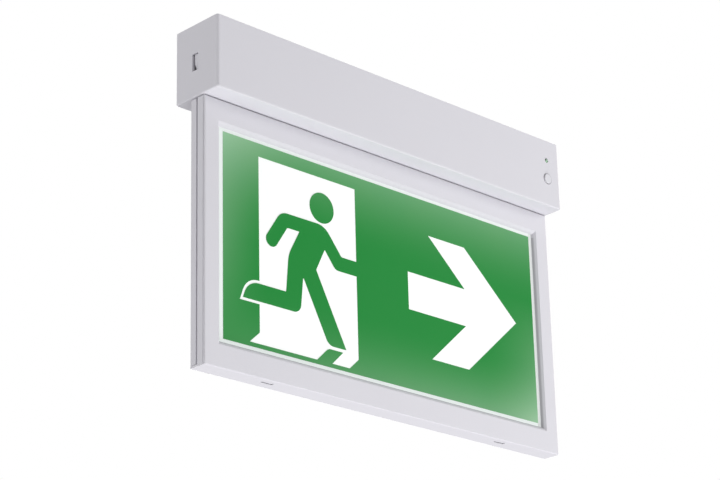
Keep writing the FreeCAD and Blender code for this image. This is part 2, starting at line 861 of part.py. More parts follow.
def peg_blocks(half, y0, y1):
    """Square blocks at the peg positions round the middle of the bezel's border."""
    side_x = window_width / 2 + reveal_width + side_border / 2
    rows = (sign_top - top_border / 2, sign_bottom + bottom_border / 2)
    places = [(x, z) for x in (-bezel_peg_spacing / 2, 0, bezel_peg_spacing / 2) for z in rows]
    places += [(x, z) for x in (-side_x, side_x) for z in (window_top, window_bottom)]
    return [box(x - half, x + half, y0, y1, z - half, z + half) for x, z in places]


def make_sign_front_frame():
    """Front half of the sign: flared window lip, side walls and full-depth bottom wall."""
    frame = upright_plate(sign_x, sign_top, sign_bottom, frame_y, parting_front)
    frame = frame.fuse(upright_plate(sign_x, sign_bottom + sign_wall, sign_bottom, parting_front - 1, back_y))
    frame = frame.cut(upright_plate(sign_x - sign_wall, sign_top - sign_wall, sign_bottom + sign_wall,
                                    diffuser_y, back_y + 1))
    frame = frame.cut(flared_hole(0, lip_flare, frame_y, diffuser_y))
    cuts = peg_blocks(bezel_peg_width / 2 + thread_gap, frame_y - 1, diffuser_y + 1)
    cuts += mirrored(box(sign_x - shadow_depth, sign_x + 1, frame_y - 1, frame_y + shadow_width,
                         sign_bottom + bezel_edge_r, sign_top + 1))
    snap_y = front_y + snap_from_front
    half = snap_length / 2
    cuts += mirrored(box(snap_spacing / 2 - half, snap_spacing / 2 + half, snap_y - snap_width / 2,
                         snap_y + snap_width / 2, sign_bottom - 1, sign_bottom + sign_wall + 1))
    return frame.cut(cuts).removeSplitter()


def rear_rib_solid(x):
    """One upright rib that holds the light engine and backs the reflector."""
    shelf = channel_top + fit_gap
    notch = channel_bottom - fit_gap
    bottom = shell_bottom + sign_wall / 2
    arm_y = guide_y
    corners = [(rear_wall_y + rear_wall / 2, bottom, 0), (rib_y, bottom, 0), (rib_y, notch, 0),
               (channel_back + thread_gap, notch, 0), (channel_back + thread_gap, shelf, 0),
               (arm_y, shelf, 0), (arm_y, lip_top - shell_lip / 2, 0),
               (rear_wall_y + rear_wall / 2, lip_top - shell_lip / 2, 0)]
    return cross_prism(corners, x - rear_rib / 2, x + rear_rib / 2)


shell_bottom = sign_bottom + sign_wall + fit_gap
lip_x = sign_x - sign_wall - fit_gap
lip_top = sign_top - sign_wall - fit_gap
lip_front = parting_back - shell_lip_reach


def make_sign_rear_shell():
    """Back half of the sign: ribbed tray with a lip, snap nibs and hanging bosses."""
    shell = upright_plate(sign_x, sign_top, shell_bottom, parting_back, back_y)
    shell = shell.fuse(upright_plate(lip_x, lip_top, shell_bottom, lip_front, parting_back + 1))
    shell = shell.cut(upright_plate(lip_x - shell_lip, lip_top - shell_lip, shell_bottom + sign_wall,
                                    lip_front - 1, rear_wall_y))
    shell = shell.cut(upright_plate(sign_x - sign_wall, sign_top - sign_wall, shell_bottom + sign_wall,
                                    parting_back + sign_wall, rear_wall_y))
    step_y = back_y - back_step_depth
    trims = mirrored(box(sign_x - back_step, sign_x + 1, step_y, back_y + 1, shell_bottom - 1, sign_top + 1))
    shell = shell.cut(trims)
    middle = (rear_rib_count - 1) / 2
    ribs = [rear_rib_solid((i - middle) * rear_rib_pitch) for i in range(rear_rib_count)]
    root_y = rear_wall_y + rear_wall / 2
    seats = []
    for i in (-1, 0, 1):
        x = i * pad_spacing
        z = legend_z + i * side_stop_pitch
        seats.append(box(x - pad_length / 2, x + pad_length / 2, guide_y, root_y,
                         shell_bottom + sign_wall / 2, panel_bottom - pad_height))
        seats += mirrored(box(panel_x + fit_gap, lip_x - shell_lip / 2, guide_y, root_y,
                              z - side_stop_length / 2, z + side_stop_length / 2))
    half = hang_boss_width / 2
    bosses = [box(x - half, x + half, hang_y - half, root_y, sign_top - hang_boss_height, -housing_height)
              for x in hang_boss_places]
    shell = shell.fuse(ribs + seats + bosses + snap_nibs())
    cuts = [cylinder(screw_r + thread_gap, V(x, hang_y, sign_top - hang_boss_height), Z_AXIS,
                     hang_boss_height + 1) for x in hang_screw_places]
    cuts.append(cylinder(bush_bore_r, V(header_x, led_lead_y, sign_top - bush_passage), Z_AXIS,
                         bush_passage + 1))
    return shell.cut(cuts).removeSplitter()


def snap_nibs():
    """Tongues of the rear shell whose nibs drop into the slots of the front frame."""
    snap_y = front_y + snap_from_front
    x0 = (snap_spacing - snap_length) / 2 + fit_gap
    x1 = (snap_spacing + snap_length) / 2 - fit_gap
    y0 = snap_y - snap_width / 2 + fit_gap
    y1 = snap_y + snap_width / 2 - fit_gap
    nib_bottom = sign_bottom + snap_recess
    root_z = shell_bottom + sign_wall / 2
    tongue = box(x0, x1, y0, lip_front + 1, shell_bottom, shell_bottom + sign_wall)
    corners = [(y0, root_z, 0), (y0, nib_bottom + snap_bevel, 0), (y0 + snap_bevel, nib_bottom, 0),
               (y1, nib_bottom, 0), (y1, root_z, 0)]
    return mirrored(tongue.fuse(cross_prism(corners, x0, x1)))


# ---------------------------------------------------------------- sign layers
# The figure, door and arrow are drawn for a legend 150 high, about the middle
# of their own half of the legend, and grow with its height.
DRAWN_HEIGHT = 150.0
DOOR_LEFT = -45.3
DOOR_RIGHT = 46.9
DOOR_TOP = 65.2
DOOR_FOOT = -63.8
DOOR_BOTTOM = -72.0
THRESHOLD_SHIFT = -9.0
HALO = 2.1
HEAD = (14.0, 42.0)
HEAD_R = 11.5
ARM = 49.0
FOOT_TOP = -28.8
FOOT_BOTTOM = -41.6
REAR_FOOT = [(-20.7, FOOT_TOP, 1.0), (-55.2, FOOT_TOP, 13.0), (-60.0, FOOT_BOTTOM, 0),
             (-7.7, FOOT_BOTTOM, 6.5)]
HALO_HEEL = -56.6
HALO_HEEL_R = 14.5
HALO_TOE = -62.9
FIGURE = [(ARM, 9.2, 0), (32.2, 9.2, 2), (16.1, 29.2, 15), (-24.8, 29.2, 10), (-40.8, 5.1, 5.3),
          (-31.9, -0.9, 5.3), (-19.0, 18.7, 2), (-7.6, 18.7, 0), (-18.1, -0.7, 24)]
FIGURE += REAR_FOOT
FIGURE += [(-4.8, -13.8, 0.6), (18.5, -59.3, 7.5), (34.9, -59.3, 0), (7.6, -6.1, 0.8), (16.2, 11.2, 0.6),
           (26.4, -1.8, 6), (ARM, -1.8, 0)]
SHADOW = [(17.9, -61.8, 5), (31.9, -61.8, 0), (19.3, -74.0, 0), (4.9, -74.0, 0)]
ARROW_TIP = 58.6
ARROW_TAIL = -56.6
ARROW_HALF = 48.0
ARROW_NECK = 4.5
ARROW_BACK = -34.2
ARROW_STEP = 1.7
SHAFT_HALF = 14.6


def drawn_face(points, centre_x):
    """Face of a drawn shape at its place and size on the legend."""
    unit = legend_height / DRAWN_HEIGHT
    placed = [(centre_x + a * unit, legend_z + b * unit, r * unit) for a, b, r in points]
    return upright_face(placed, film_y())


def film_y():
    """Front face of the legend film, which lies on the diffuser."""
    return diffuser_y - film_thickness


def make_legend_film():
    """Green film with the doorway and the arrow cut out, and the figure left in."""
    left = -legend_width / 4
    right = legend_width / 4
    unit = legend_height / DRAWN_HEIGHT
    door = drawn_face([(DOOR_LEFT, DOOR_TOP, 0), (DOOR_RIGHT, DOOR_TOP, 0), (DOOR_RIGHT, DOOR_FOOT, 0),
                       (DOOR_RIGHT + THRESHOLD_SHIFT, DOOR_BOTTOM, 0),
                       (DOOR_LEFT + THRESHOLD_SHIFT, DOOR_BOTTOM, 0), (DOOR_LEFT, DOOR_FOOT, 0)], left)
    halo_points = [(0, FOOT_TOP + HALO, 0), (HALO_HEEL, FOOT_TOP + HALO, HALO_HEEL_R),
                   (HALO_TOE, FOOT_BOTTOM - HALO, 0), (0, FOOT_BOTTOM - HALO, 0)]
    halo = drawn_face(halo_points, left)
    figure = drawn_face(FIGURE, left)
    shadow = drawn_face(SHADOW, left)
    centre = V(left + HEAD[0] * unit, film_y(), legend_z + HEAD[1] * unit)
    head = Part.Face(Part.Wire(Part.makeCircle(HEAD_R * unit, centre, Y_AXIS)))
    arrow_half = [(ARROW_TAIL, SHAFT_HALF), (ARROW_NECK - ARROW_STEP, SHAFT_HALF), (ARROW_BACK, ARROW_HALF),
                  (ARROW_NECK, ARROW_HALF)]
    mirrored_half = [(a, -b) for a, b in reversed(arrow_half)]
    arrow = drawn_face([(a, b, 0) for a, b in arrow_half + [(ARROW_TIP, 0)] + mirrored_half], right)
    opening = door.fuse(halo).cut([figure, shadow, head])
    field = upright_face([(-legend_width / 2, legend_z - legend_height / 2, 0),
                          (legend_width / 2, legend_z - legend_height / 2, 0),
                          (legend_width / 2, legend_z + legend_height / 2, 0),
                          (-legend_width / 2, legend_z + legend_height / 2, 0)], film_y())
    film = field.cut([opening, arrow]).removeSplitter()
    return Part.makeCompound([face.extrude(V(0, film_thickness, 0)) for face in film.Faces])


def make_diffuser_panel():
    """Opal sheet behind the legend film."""
    return upright_plate(panel_x, diffuser_top, panel_bottom, diffuser_y, guide_y)


def make_light_guide():
    """Clear acrylic plate lit through its top edge."""
    return upright_plate(panel_x, guide_top, panel_bottom, guide_y, reflector_y)


def make_reflector_sheet():
    """White sheet behind the light guide."""
    return upright_plate(panel_x, guide_top, panel_bottom, reflector_y, rib_y)


def make_led_channel():
    """Aluminium channel over the top edge of the light guide."""
    x = channel_length / 2
    channel = box(-x, x, channel_front, channel_back, channel_bottom, channel_top)
    inside = box(-x - 1, x + 1, channel_front + channel_wall, channel_back - channel_wall,
                 channel_bottom - 1, led_board_top)
    half_x = lead_notch_length / 2
    half_y = lead_notch_width / 2
    notch = box(header_x - half_x, header_x + half_x, led_end_y() - half_y, led_end_y() + half_y,
                led_board_top - 1, channel_top + 1)
    return channel.cut([inside, notch])


def led_end_y():
    """Where the lead meets the LED board."""
    return (guide_y + reflector_y) / 2


def make_led_board():
    """Strip board with the LEDs, under the web of the channel."""
    x = channel_length / 2 - led_board_inset
    y = led_end_y()
    return box(-x, x, y - led_board_width / 2, y + led_board_width / 2, led_top, led_board_top)


def make_led_chips():
    """A row of LEDs that shine down into the light guide."""
    chips = []
    y = led_end_y()
    for i in range(led_count):
        x = (i - (led_count - 1) / 2) * led_pitch
        chips.append(box(x - led_size / 2, x + led_size / 2, y - led_size / 2, y + led_size / 2,
                         led_top - led_height, led_top))
    return Part.makeCompound(chips)


def make_guide_pads():
    """Foam pads that carry the bottom edge of the stack."""
    pads = []
    for i in (-1, 0, 1):
        x = i * pad_spacing
        pads.append(box(x - pad_length / 2, x + pad_length / 2, guide_y, rib_y,
                        panel_bottom - pad_height, panel_bottom))
    return Part.makeCompound(pads)


# ---------------------------------------------------------------- fixings, bush and leads
def make_sign_fixing_screws():
    """Screws through the housing floor into the bosses of the rear shell."""
    return Part.makeCompound([screw(V(x, hang_y, floor_top), V(0, 0, -1), hang_screw_length)
                              for x in hang_screw_places])


def make_lead_bush():
    """Rubber bush where the LED lead leaves the housing."""
    neck = bush_neck_r - thread_gap
    profile = [(bush_bore_r, -cover_floor), (neck, -cover_floor), (neck, 0), (bush_flange_r, 0),
               (bush_flange_r, bush_flange_height), (bush_bore_r, bush_flange_height)]
    return turned(profile, V(header_x, led_lead_y, floor_top), Z_AXIS)


def make_led_lead():
    """Lead from the driver board to the LED board, down through the bush."""
    x = header_x
    jog_z = sign_top - sign_wall - led_lead_below_wall
    points = [V(x, board_y, socket_z), V(x, board_y, battery_z - battery_r - led_lead_drop),
              V(x, led_lead_y, floor_top + led_lead_rise), V(x, led_lead_y, jog_z),
              V(x, led_end_y(), jog_z - led_lead_jog), V(x, led_end_y(), led_board_top)]
    return lead("led_lead", points, lead_r)


def make_battery_lead():
    """Lead from the end of the battery, round under the board to its plug."""
    turn_x = battery_right + battery_lead_reach
    low_z = battery_z - battery_lead_drop
    points = [V(battery_right, battery_y, battery_z), V(turn_x, battery_y, battery_z),
              V(turn_x, board_y, low_z),
              V((turn_x + battery_header_x) / 2, board_y, low_z - battery_lead_sag),
              V(battery_header_x, board_y, low_z), V(battery_header_x, board_y, header_bottom - plug_height
                                                     + plug_depth)]
    return lead("battery_lead", points, lead_r)


def make_indicator_lead():
    """Lead from the driver board to the control board."""
    low_z = floor_top + control_lead_rise
    near_y = board_y - control_lead_sag
    points = [V(control_header_x, board_y, socket_z), V(control_header_x, board_y, low_z),
              V(control_header_x + control_lead_reach, near_y, low_z - control_lead_sag),
              V(controls_header_left - control_lead_reach, controls_header_y, low_z),
              V(controls_header_left - control_lead_exit, controls_header_y, controls_header_z),
              V(controls_x, controls_header_y, controls_header_z)]
    return lead("indicator_lead", points, lead_r)


PARTS = {
    "mounting_plate": make_mounting_plate,
    "snap_latches": make_snap_latches,
    "housing_cover": make_housing_cover,
    "cable_grommet": make_cable_grommet,
    "terminal_block": make_terminal_block,
    "terminal_screws": make_terminal_screws,
    "driver_board": make_driver_board,
    "transformer": make_transformer,
    "capacitors": make_capacitors,
    "driver_chips": make_driver_chips,
    "fuse": make_fuse,
    "board_headers": make_board_headers,
    "battery_pack": make_battery_pack,
    "battery_clips": make_battery_clips,
    "battery_lead": make_battery_lead,
    "battery_plug": make_battery_plug,
    "indicator_board": make_indicator_board,
    "indicator_led": make_indicator_led,
    "indicator_lead": make_indicator_lead,
    "switch_body": make_switch_body,
    "switch_plunger": make_switch_plunger,
    "test_button_cap": make_test_button_cap,
    "front_bezel": make_front_bezel,
    "sign_front_frame": make_sign_front_frame,
    "sign_rear_shell": make_sign_rear_shell,
    "legend_film": make_legend_film,
    "diffuser_panel": make_diffuser_panel,
    "light_guide": make_light_guide,
    "reflector_sheet": make_reflector_sheet,
    "led_channel": make_led_channel,
    "led_board": make_led_board,
    "led_chips": make_led_chips,
    "guide_pads": make_guide_pads,
    "sign_fixing_screws": make_sign_fixing_screws,
    "lead_bush": make_lead_bush,
    "led_lead": make_led_lead,
}

os.makedirs("parts", exist_ok=True)
for name, make in PARTS.items():
    shape = make()
    shape.exportStep(os.path.join("parts", name + ".step"))
    print(name, "solids", len(shape.Solids), "valid", shape.isValid(), "volume", round(shape.Volume, 1))
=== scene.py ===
"""Looks of the emergency exit light: finishes, floor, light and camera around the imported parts."""

import json
import math

import bpy
from mathutils import Matrix, Vector


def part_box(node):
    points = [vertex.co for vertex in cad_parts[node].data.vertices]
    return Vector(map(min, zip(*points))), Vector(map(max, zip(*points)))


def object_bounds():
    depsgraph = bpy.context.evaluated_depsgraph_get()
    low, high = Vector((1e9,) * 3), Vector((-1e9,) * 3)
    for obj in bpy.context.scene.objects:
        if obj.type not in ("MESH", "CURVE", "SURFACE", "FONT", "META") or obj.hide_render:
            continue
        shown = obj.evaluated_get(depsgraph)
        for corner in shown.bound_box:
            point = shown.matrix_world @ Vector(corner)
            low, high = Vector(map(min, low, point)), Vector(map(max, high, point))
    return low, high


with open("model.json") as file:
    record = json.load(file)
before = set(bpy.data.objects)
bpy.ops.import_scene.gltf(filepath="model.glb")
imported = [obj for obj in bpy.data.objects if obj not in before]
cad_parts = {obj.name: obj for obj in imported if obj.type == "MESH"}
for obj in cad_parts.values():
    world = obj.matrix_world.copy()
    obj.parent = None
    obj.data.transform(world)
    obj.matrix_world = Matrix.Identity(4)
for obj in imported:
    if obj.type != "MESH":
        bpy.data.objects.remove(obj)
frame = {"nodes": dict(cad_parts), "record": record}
parts = frame["nodes"]
cad_low, cad_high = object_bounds()

MM = 0.001

film_low, film_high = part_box("legend_film")
LEGEND_MIDDLE = (film_low + film_high) / 2
LEGEND_HALF = (film_high - film_low) / 2
PANEL_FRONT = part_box("diffuser_panel")[0].y

# The two snap nibs in the sign's lower edge.
SNAP_FROM_MIDDLE = 114.0 * MM
SNAP_BEHIND_BEZEL = 5.55 * MM
SNAP_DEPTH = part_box("front_bezel")[0].y + SNAP_BEHIND_BEZEL
SNAP_HALF_LENGTH = 5.0 * MM
SNAP_HALF_WIDTH = 1.4 * MM


# ---------------------------------------------------------------- node helpers

def feed(tree, target, value):
    """Gives an input socket a link or a plain value."""
    if isinstance(value, bpy.types.NodeSocket):
        tree.links.new(value, target)
    else:
        target.default_value = value


def put(tree, kind, sockets=None, **settings):
    """A new node: its own settings by name, and its input sockets as a dict."""
    made = tree.nodes.new("ShaderNode" + kind)
    for name, value in settings.items():
        setattr(made, name, value)
    for key, value in (sockets or {}).items():
        feed(tree, made.inputs[key], value)
    return made


def calc(tree, operation, *values, clamp=False):
    """The result of one step of arithmetic."""
    made = put(tree, "Math", operation=operation, use_clamp=clamp)
    for target, value in zip(made.inputs, values):
        feed(tree, target, value)
    return made.outputs[0]


def chain(tree, operation, first, *others):
    """The result of one operation taken over several values in turn."""
    result = first
    for value in others:
        result = calc(tree, operation, result, value)
    return result


def line(tree, value, slope, start):
    """A straight line: start where the value is 0, and slope more for each 1 of it."""
    return calc(tree, "MULTIPLY_ADD", value, slope, start)


def ramp(tree, value, least, most):
    """0 up to the least value, 1 from the most, and even between."""
    return put(tree, "MapRange", {"Value": value, "From Min": least, "From Max": most}).outputs[0]


def between(tree, value, least, most):
    """1 where a value lies between two others, and 0 elsewhere."""
    over = calc(tree, "GREATER_THAN", value, least)
    return calc(tree, "MULTIPLY", over, calc(tree, "LESS_THAN", value, most))


def swing(tree, fraction, contrast):
    """Noise from 0 to 1 turned into a swing to both sides of 0."""
    return calc(tree, "MULTIPLY", calc(tree, "SUBTRACT", fraction, 0.5), contrast)


def blend(tree, factor, first, second, mode="MIX"):
    """Two colours mixed, or the second added to the first."""
    made = put(tree, "Mix", data_type="RGBA", blend_type=mode)
    for target, value in zip((made.inputs[0], made.inputs[6], made.inputs[7]), (factor, first, second)):
        feed(tree, target, value)
    return made.outputs[2]


def toned(tree, color, value):
    """A colour made lighter or darker by a factor."""
    return put(tree, "HueSaturation", {"Color": color, "Value": value}).outputs[0]


def joined(tree, red, green, blue):
    """A colour made of three numbers."""
    return put(tree, "CombineColor", {0: red, 1: green, 2: blue}).outputs[0]


def place(tree):
    """The object's own coordinates, in metres."""
    return put(tree, "TexCoord").outputs["Object"]


def split(tree, vector):
    """The X, Y and Z of a vector."""
    return put(tree, "SeparateXYZ", {"Vector": vector}).outputs


def noise(tree, scale, detail=2.0, vector=None):
    """Smooth noise from 0 to 1 at that many cells a metre."""
    spot = place(tree) if vector is None else vector
    return put(tree, "TexNoise", {"Vector": spot, "Scale": scale, "Detail": detail}).outputs["Fac"]


def raised(tree, height, strength, depth):
    """A normal from a height map, depth in metres."""
    return put(tree, "Bump", {"Height": height, "Strength": strength, "Distance": depth}).outputs["Normal"]


def effect(name, inputs, outputs):
    """A node group with its sockets. Returns the tree, the values given to it and the sockets it fills."""
    tree = bpy.data.node_groups.new(name, "ShaderNodeTree")
    for label, kind, value in inputs:
        socket = tree.interface.new_socket(label, in_out="INPUT", socket_type="NodeSocket" + kind)
        socket.default_value = value
    for label, kind in outputs:
        tree.interface.new_socket(label, in_out="OUTPUT", socket_type="NodeSocket" + kind)
    source = tree.nodes.new("NodeGroupInput")
    sink = tree.nodes.new("NodeGroupOutput")
    return tree, source.outputs, sink.inputs


def use(tree, group, sockets):
    """The outputs of a node group used in a material."""
    made = tree.nodes.new("ShaderNodeGroup")
    made.node_tree = group
    for key, value in sockets.items():
        feed(tree, made.inputs[key], value)
    return made.outputs


def rgb(red, green, blue):
    """An opaque linear colour."""
    return (red, green, blue, 1.0)


# ---------------------------------------------------------------- shared effects

def moulded_skin_effect():
    """Moulded plastic, rubber or ceramic: faint patches of tone, uneven sheen and a spark-eroded grain."""
    smears_per_patch = 4.0
    grain_depth = 0.1 * MM
    tree, given, out = effect(
        "moulded_skin",
        [("Color", "Color", rgb(0.8, 0.8, 0.8)), ("Patch Contrast", "Float", 0.03),
         ("Patches per Metre", "Float", 14.0), ("Roughness", "Float", 0.5),
         ("Sheen Contrast", "Float", 0.08), ("Grains per Metre", "Float", 2200.0),
         ("Grain Strength", "Float", 0.1)],
        [("Color", "Color"), ("Roughness", "Float"), ("Normal", "Vector")])
    patches = noise(tree, given["Patches per Metre"], detail=3.0)
    shift = swing(tree, patches, given["Patch Contrast"])
    feed(tree, out["Color"], toned(tree, given["Color"], calc(tree, "ADD", 1.0, shift)))
    smears_per_metre = calc(tree, "MULTIPLY", given["Patches per Metre"], smears_per_patch)
    uneven = swing(tree, noise(tree, smears_per_metre, detail=4.0), given["Sheen Contrast"])
    feed(tree, out["Roughness"], calc(tree, "ADD", given["Roughness"], uneven, clamp=True))
    grain = noise(tree, given["Grains per Metre"], detail=1.0)
    feed(tree, out["Normal"], raised(tree, grain, given["Grain Strength"], grain_depth))
    return tree


def drawn_metal_effect():
    """Rolled or drawn metal: fine streaks along the part's length."""
    streaks_per_metre = 1800.0
    streak_depth = 0.05 * MM
    streak_strength = 0.15
    tree, given, out = effect(
        "drawn_metal",
        [("Color", "Color", rgb(0.7, 0.7, 0.7)), ("Roughness", "Float", 0.35),
         ("Streak Contrast", "Float", 0.2), ("Stretch", "Float", 0.03)],
        [("Color", "Color"), ("Roughness", "Float"), ("Normal", "Vector")])
    axes = split(tree, place(tree))
    along = calc(tree, "MULTIPLY", axes["X"], given["Stretch"])
    pulled = put(tree, "CombineXYZ", {"X": along, "Y": axes["Y"], "Z": axes["Z"]}).outputs[0]
    streaks = noise(tree, streaks_per_metre, detail=3.0, vector=pulled)
    shift = swing(tree, streaks, given["Streak Contrast"])
    feed(tree, out["Color"], toned(tree, given["Color"], calc(tree, "ADD", 1.0, shift)))
    feed(tree, out["Roughness"], calc(tree, "ADD", given["Roughness"], shift, clamp=True))
    feed(tree, out["Normal"], raised(tree, streaks, streak_strength, streak_depth))
    return tree


def copper_tracks_effect():
    """A circuit board: rows of tracks under the solder mask, broken into runs, and bare pads on a grid."""
    track_half_width = 0.17
    runs_per_track, run_cut = 0.14, 0.5
    pads_per_track, pad_cut = 0.3, 0.56
    pad_radius_squared = 0.06
    mask_roughness = 0.34
    pad_metallic = 0.9
    copper_depth = 0.04 * MM
    tree, given, out = effect(
        "copper_tracks",
        [("Mask Color", "Color", rgb(0.02, 0.16, 0.05)), ("Track Color", "Color", rgb(0.05, 0.28, 0.09)),
         ("Pad Color", "Color", rgb(0.75, 0.72, 0.62)), ("Tracks per Metre", "Float", 400.0)],
        [("Color", "Color"), ("Roughness", "Float"), ("Metallic", "Float"), ("Normal", "Vector")])
    pitch = given["Tracks per Metre"]
    spot = put(tree, "VectorMath", {0: place(tree), "Scale": pitch}, operation="SCALE").outputs[0]
    axes = split(tree, spot)
    rows = calc(tree, "PINGPONG", calc(tree, "ADD", axes["Y"], axes["Z"]), 0.5)
    in_run = calc(tree, "GREATER_THAN", noise(tree, runs_per_track, detail=0.0, vector=spot), run_cut)
    track = calc(tree, "MULTIPLY", calc(tree, "LESS_THAN", rows, track_half_width), in_run)
    column = calc(tree, "PINGPONG", axes["X"], 1.0)
    from_pad = calc(tree, "ADD", calc(tree, "POWER", column, 2.0), calc(tree, "POWER", rows, 2.0))
    chosen = calc(tree, "GREATER_THAN", noise(tree, pads_per_track, detail=0.0, vector=spot), pad_cut)
    pad = calc(tree, "MULTIPLY", calc(tree, "LESS_THAN", from_pad, pad_radius_squared), chosen)
    masked = blend(tree, track, given["Mask Color"], given["Track Color"])
    feed(tree, out["Color"], blend(tree, pad, masked, given["Pad Color"]))
    feed(tree, out["Roughness"], line(tree, pad, slope=-0.08, start=mask_roughness))
    feed(tree, out["Metallic"], calc(tree, "MULTIPLY", pad, pad_metallic))
    copper = calc(tree, "MAXIMUM", track, pad)
    feed(tree, out["Normal"], raised(tree, copper, strength=0.5, depth=copper_depth))
    return tree


def wound_turns_effect():
    """Tape, wrap or film laid in turns across a part: darker lap lines at a steady pitch along X."""
    creases_per_metre = 260.0
    lap_wander = 1.2 * MM
    lap_height = 0.4
    turn_depth = 0.25 * MM
    tree, given, out = effect(
        "wound_turns",
        [("Color", "Color", rgb(0.7, 0.6, 0.1)), ("Lap Color", "Color", rgb(0.5, 0.4, 0.08)),
         ("Turns per Metre", "Float", 80.0), ("Lap Width", "Float", 0.06), ("Crinkle", "Float", 0.2)],
        [("Color", "Color"), ("Roughness", "Float"), ("Normal", "Vector")])
    creases = noise(tree, creases_per_metre, detail=4.0)
    along = calc(tree, "ADD", split(tree, place(tree))["X"], swing(tree, creases, lap_wander))
    turn = calc(tree, "FRACT", calc(tree, "MULTIPLY", along, given["Turns per Metre"]))
    lap = calc(tree, "LESS_THAN", turn, given["Lap Width"])
    feed(tree, out["Color"], blend(tree, lap, given["Color"], given["Lap Color"]))
    feed(tree, out["Roughness"], line(tree, creases, slope=0.2, start=0.24))
    crinkles = calc(tree, "MULTIPLY", creases, given["Crinkle"])
    height = calc(tree, "ADD", calc(tree, "MULTIPLY", turn, lap_height), crinkles)
    feed(tree, out["Normal"], raised(tree, height, strength=0.5, depth=turn_depth))
    return tree


def edge_fall_effect():
    """Light that dies away from an edge: 1 on the edge, 0 at its reach, and soft between."""
    tree, given, out = effect(
        "edge_fall", [("Distance", "Float", 0.0), ("Reach", "Float", 0.05)], [("Light", "Float")])
    gone = calc(tree, "DIVIDE", given["Distance"], given["Reach"])
    left = calc(tree, "SUBTRACT", 1.0, gone, clamp=True)
    feed(tree, out["Light"], calc(tree, "MULTIPLY", left, left))
    return tree


def legend_place_effect():
    """Where a point is on the legend: right of its middle, above it, and how far past its outline."""
    tree, given, out = effect(
        "legend_place",
        [("Middle Height", "Float", LEGEND_MIDDLE.z), ("Half Width", "Float", LEGEND_HALF.x),
         ("Half Height", "Float", LEGEND_HALF.z)],
        [("Right", "Float"), ("Above", "Float"), ("Past Outline", "Float")])
    axes = split(tree, place(tree))
    above = calc(tree, "SUBTRACT", axes["Z"], given["Middle Height"])
    feed(tree, out["Right"], axes["X"])
    feed(tree, out["Above"], above)
    past_side = calc(tree, "SUBTRACT", calc(tree, "ABSOLUTE", axes["X"]), given["Half Width"])
    past_top = calc(tree, "SUBTRACT", calc(tree, "ABSOLUTE", above), given["Half Height"])
    feed(tree, out["Past Outline"], calc(tree, "MAXIMUM", past_side, past_top))
    return tree


moulded_skin = moulded_skin_effect()
drawn_metal = drawn_metal_effect()
copper_tracks = copper_tracks_effect()
wound_turns = wound_turns_effect()
edge_fall = edge_fall_effect()
legend_place = legend_place_effect()


# ---------------------------------------------------------------- plain finishes

def blank(name):
    """A new material with one shader. Returns the material, its tree and the shader's inputs."""
    material = bpy.data.materials.new(name)
    material.use_nodes = True
    tree = material.node_tree
    tree.nodes.clear()
    shader = tree.nodes.new("ShaderNodeBsdfPrincipled")
    output = tree.nodes.new("ShaderNodeOutputMaterial")
    tree.links.new(shader.outputs[0], output.inputs["Surface"])
    return material, tree, shader.inputs


def surface(tree, shader, group, sockets):
    """Gives the shader what an effect puts out: its Color as Base Color, and the others by their names."""
    for output in use(tree, group, sockets):
        target = "Base Color" if output.name == "Color" else output.name
        feed(tree, shader[target], output)


def moulded(name, color, roughness=0.5, patches=14.0, patch_contrast=0.03, sheen=0.08,
            grains=2200.0, grain=0.1, specular=0.5):
    """A moulded finish made with moulded_skin, with its tree and shader for more to be added."""
    material, tree, shader = blank(name)
    surface(tree, shader, moulded_skin, {
        "Color": rgb(*color), "Roughness": roughness, "Patches per Metre": patches,
        "Patch Contrast": patch_contrast, "Sheen Contrast": sheen, "Grains per Metre": grains,
        "Grain Strength": grain})
    shader["Specular IOR Level"].default_value = specular
    return material, tree, shader


def moulding(name, **look):
    """A moulded finish with nothing added."""
    return moulded(name, **look)[0]


def metal(name, color, roughness, stretch, contrast):
    """A metal finish made with drawn_metal."""
    material, tree, shader = blank(name)
    surface(tree, shader, drawn_metal, {
        "Color": rgb(*color), "Roughness": roughness, "Stretch": stretch, "Streak Contrast": contrast})
    shader["Metallic"].default_value = 1.0
    return material


def board(name, mask, track, pad, tracks):
    """A circuit board's finish made with copper_tracks."""
    material, tree, shader = blank(name)
    surface(tree, shader, copper_tracks, {
        "Mask Color": rgb(*mask), "Track Color": rgb(*track), "Pad Color": rgb(*pad),
        "Tracks per Metre": tracks})
    return material


def wrapping(name, color, lap, turns, width, crinkle):
    """A taped, sleeved or shrink-wrapped finish made with wound_turns."""
    material, tree, shader = blank(name)
    surface(tree, shader, wound_turns, {
        "Color": rgb(*color), "Lap Color": rgb(*lap), "Turns per Metre": turns, "Lap Width": width,
        "Crinkle": crinkle})
    return material


# ---------------------------------------------------------------- the film, panel and guide

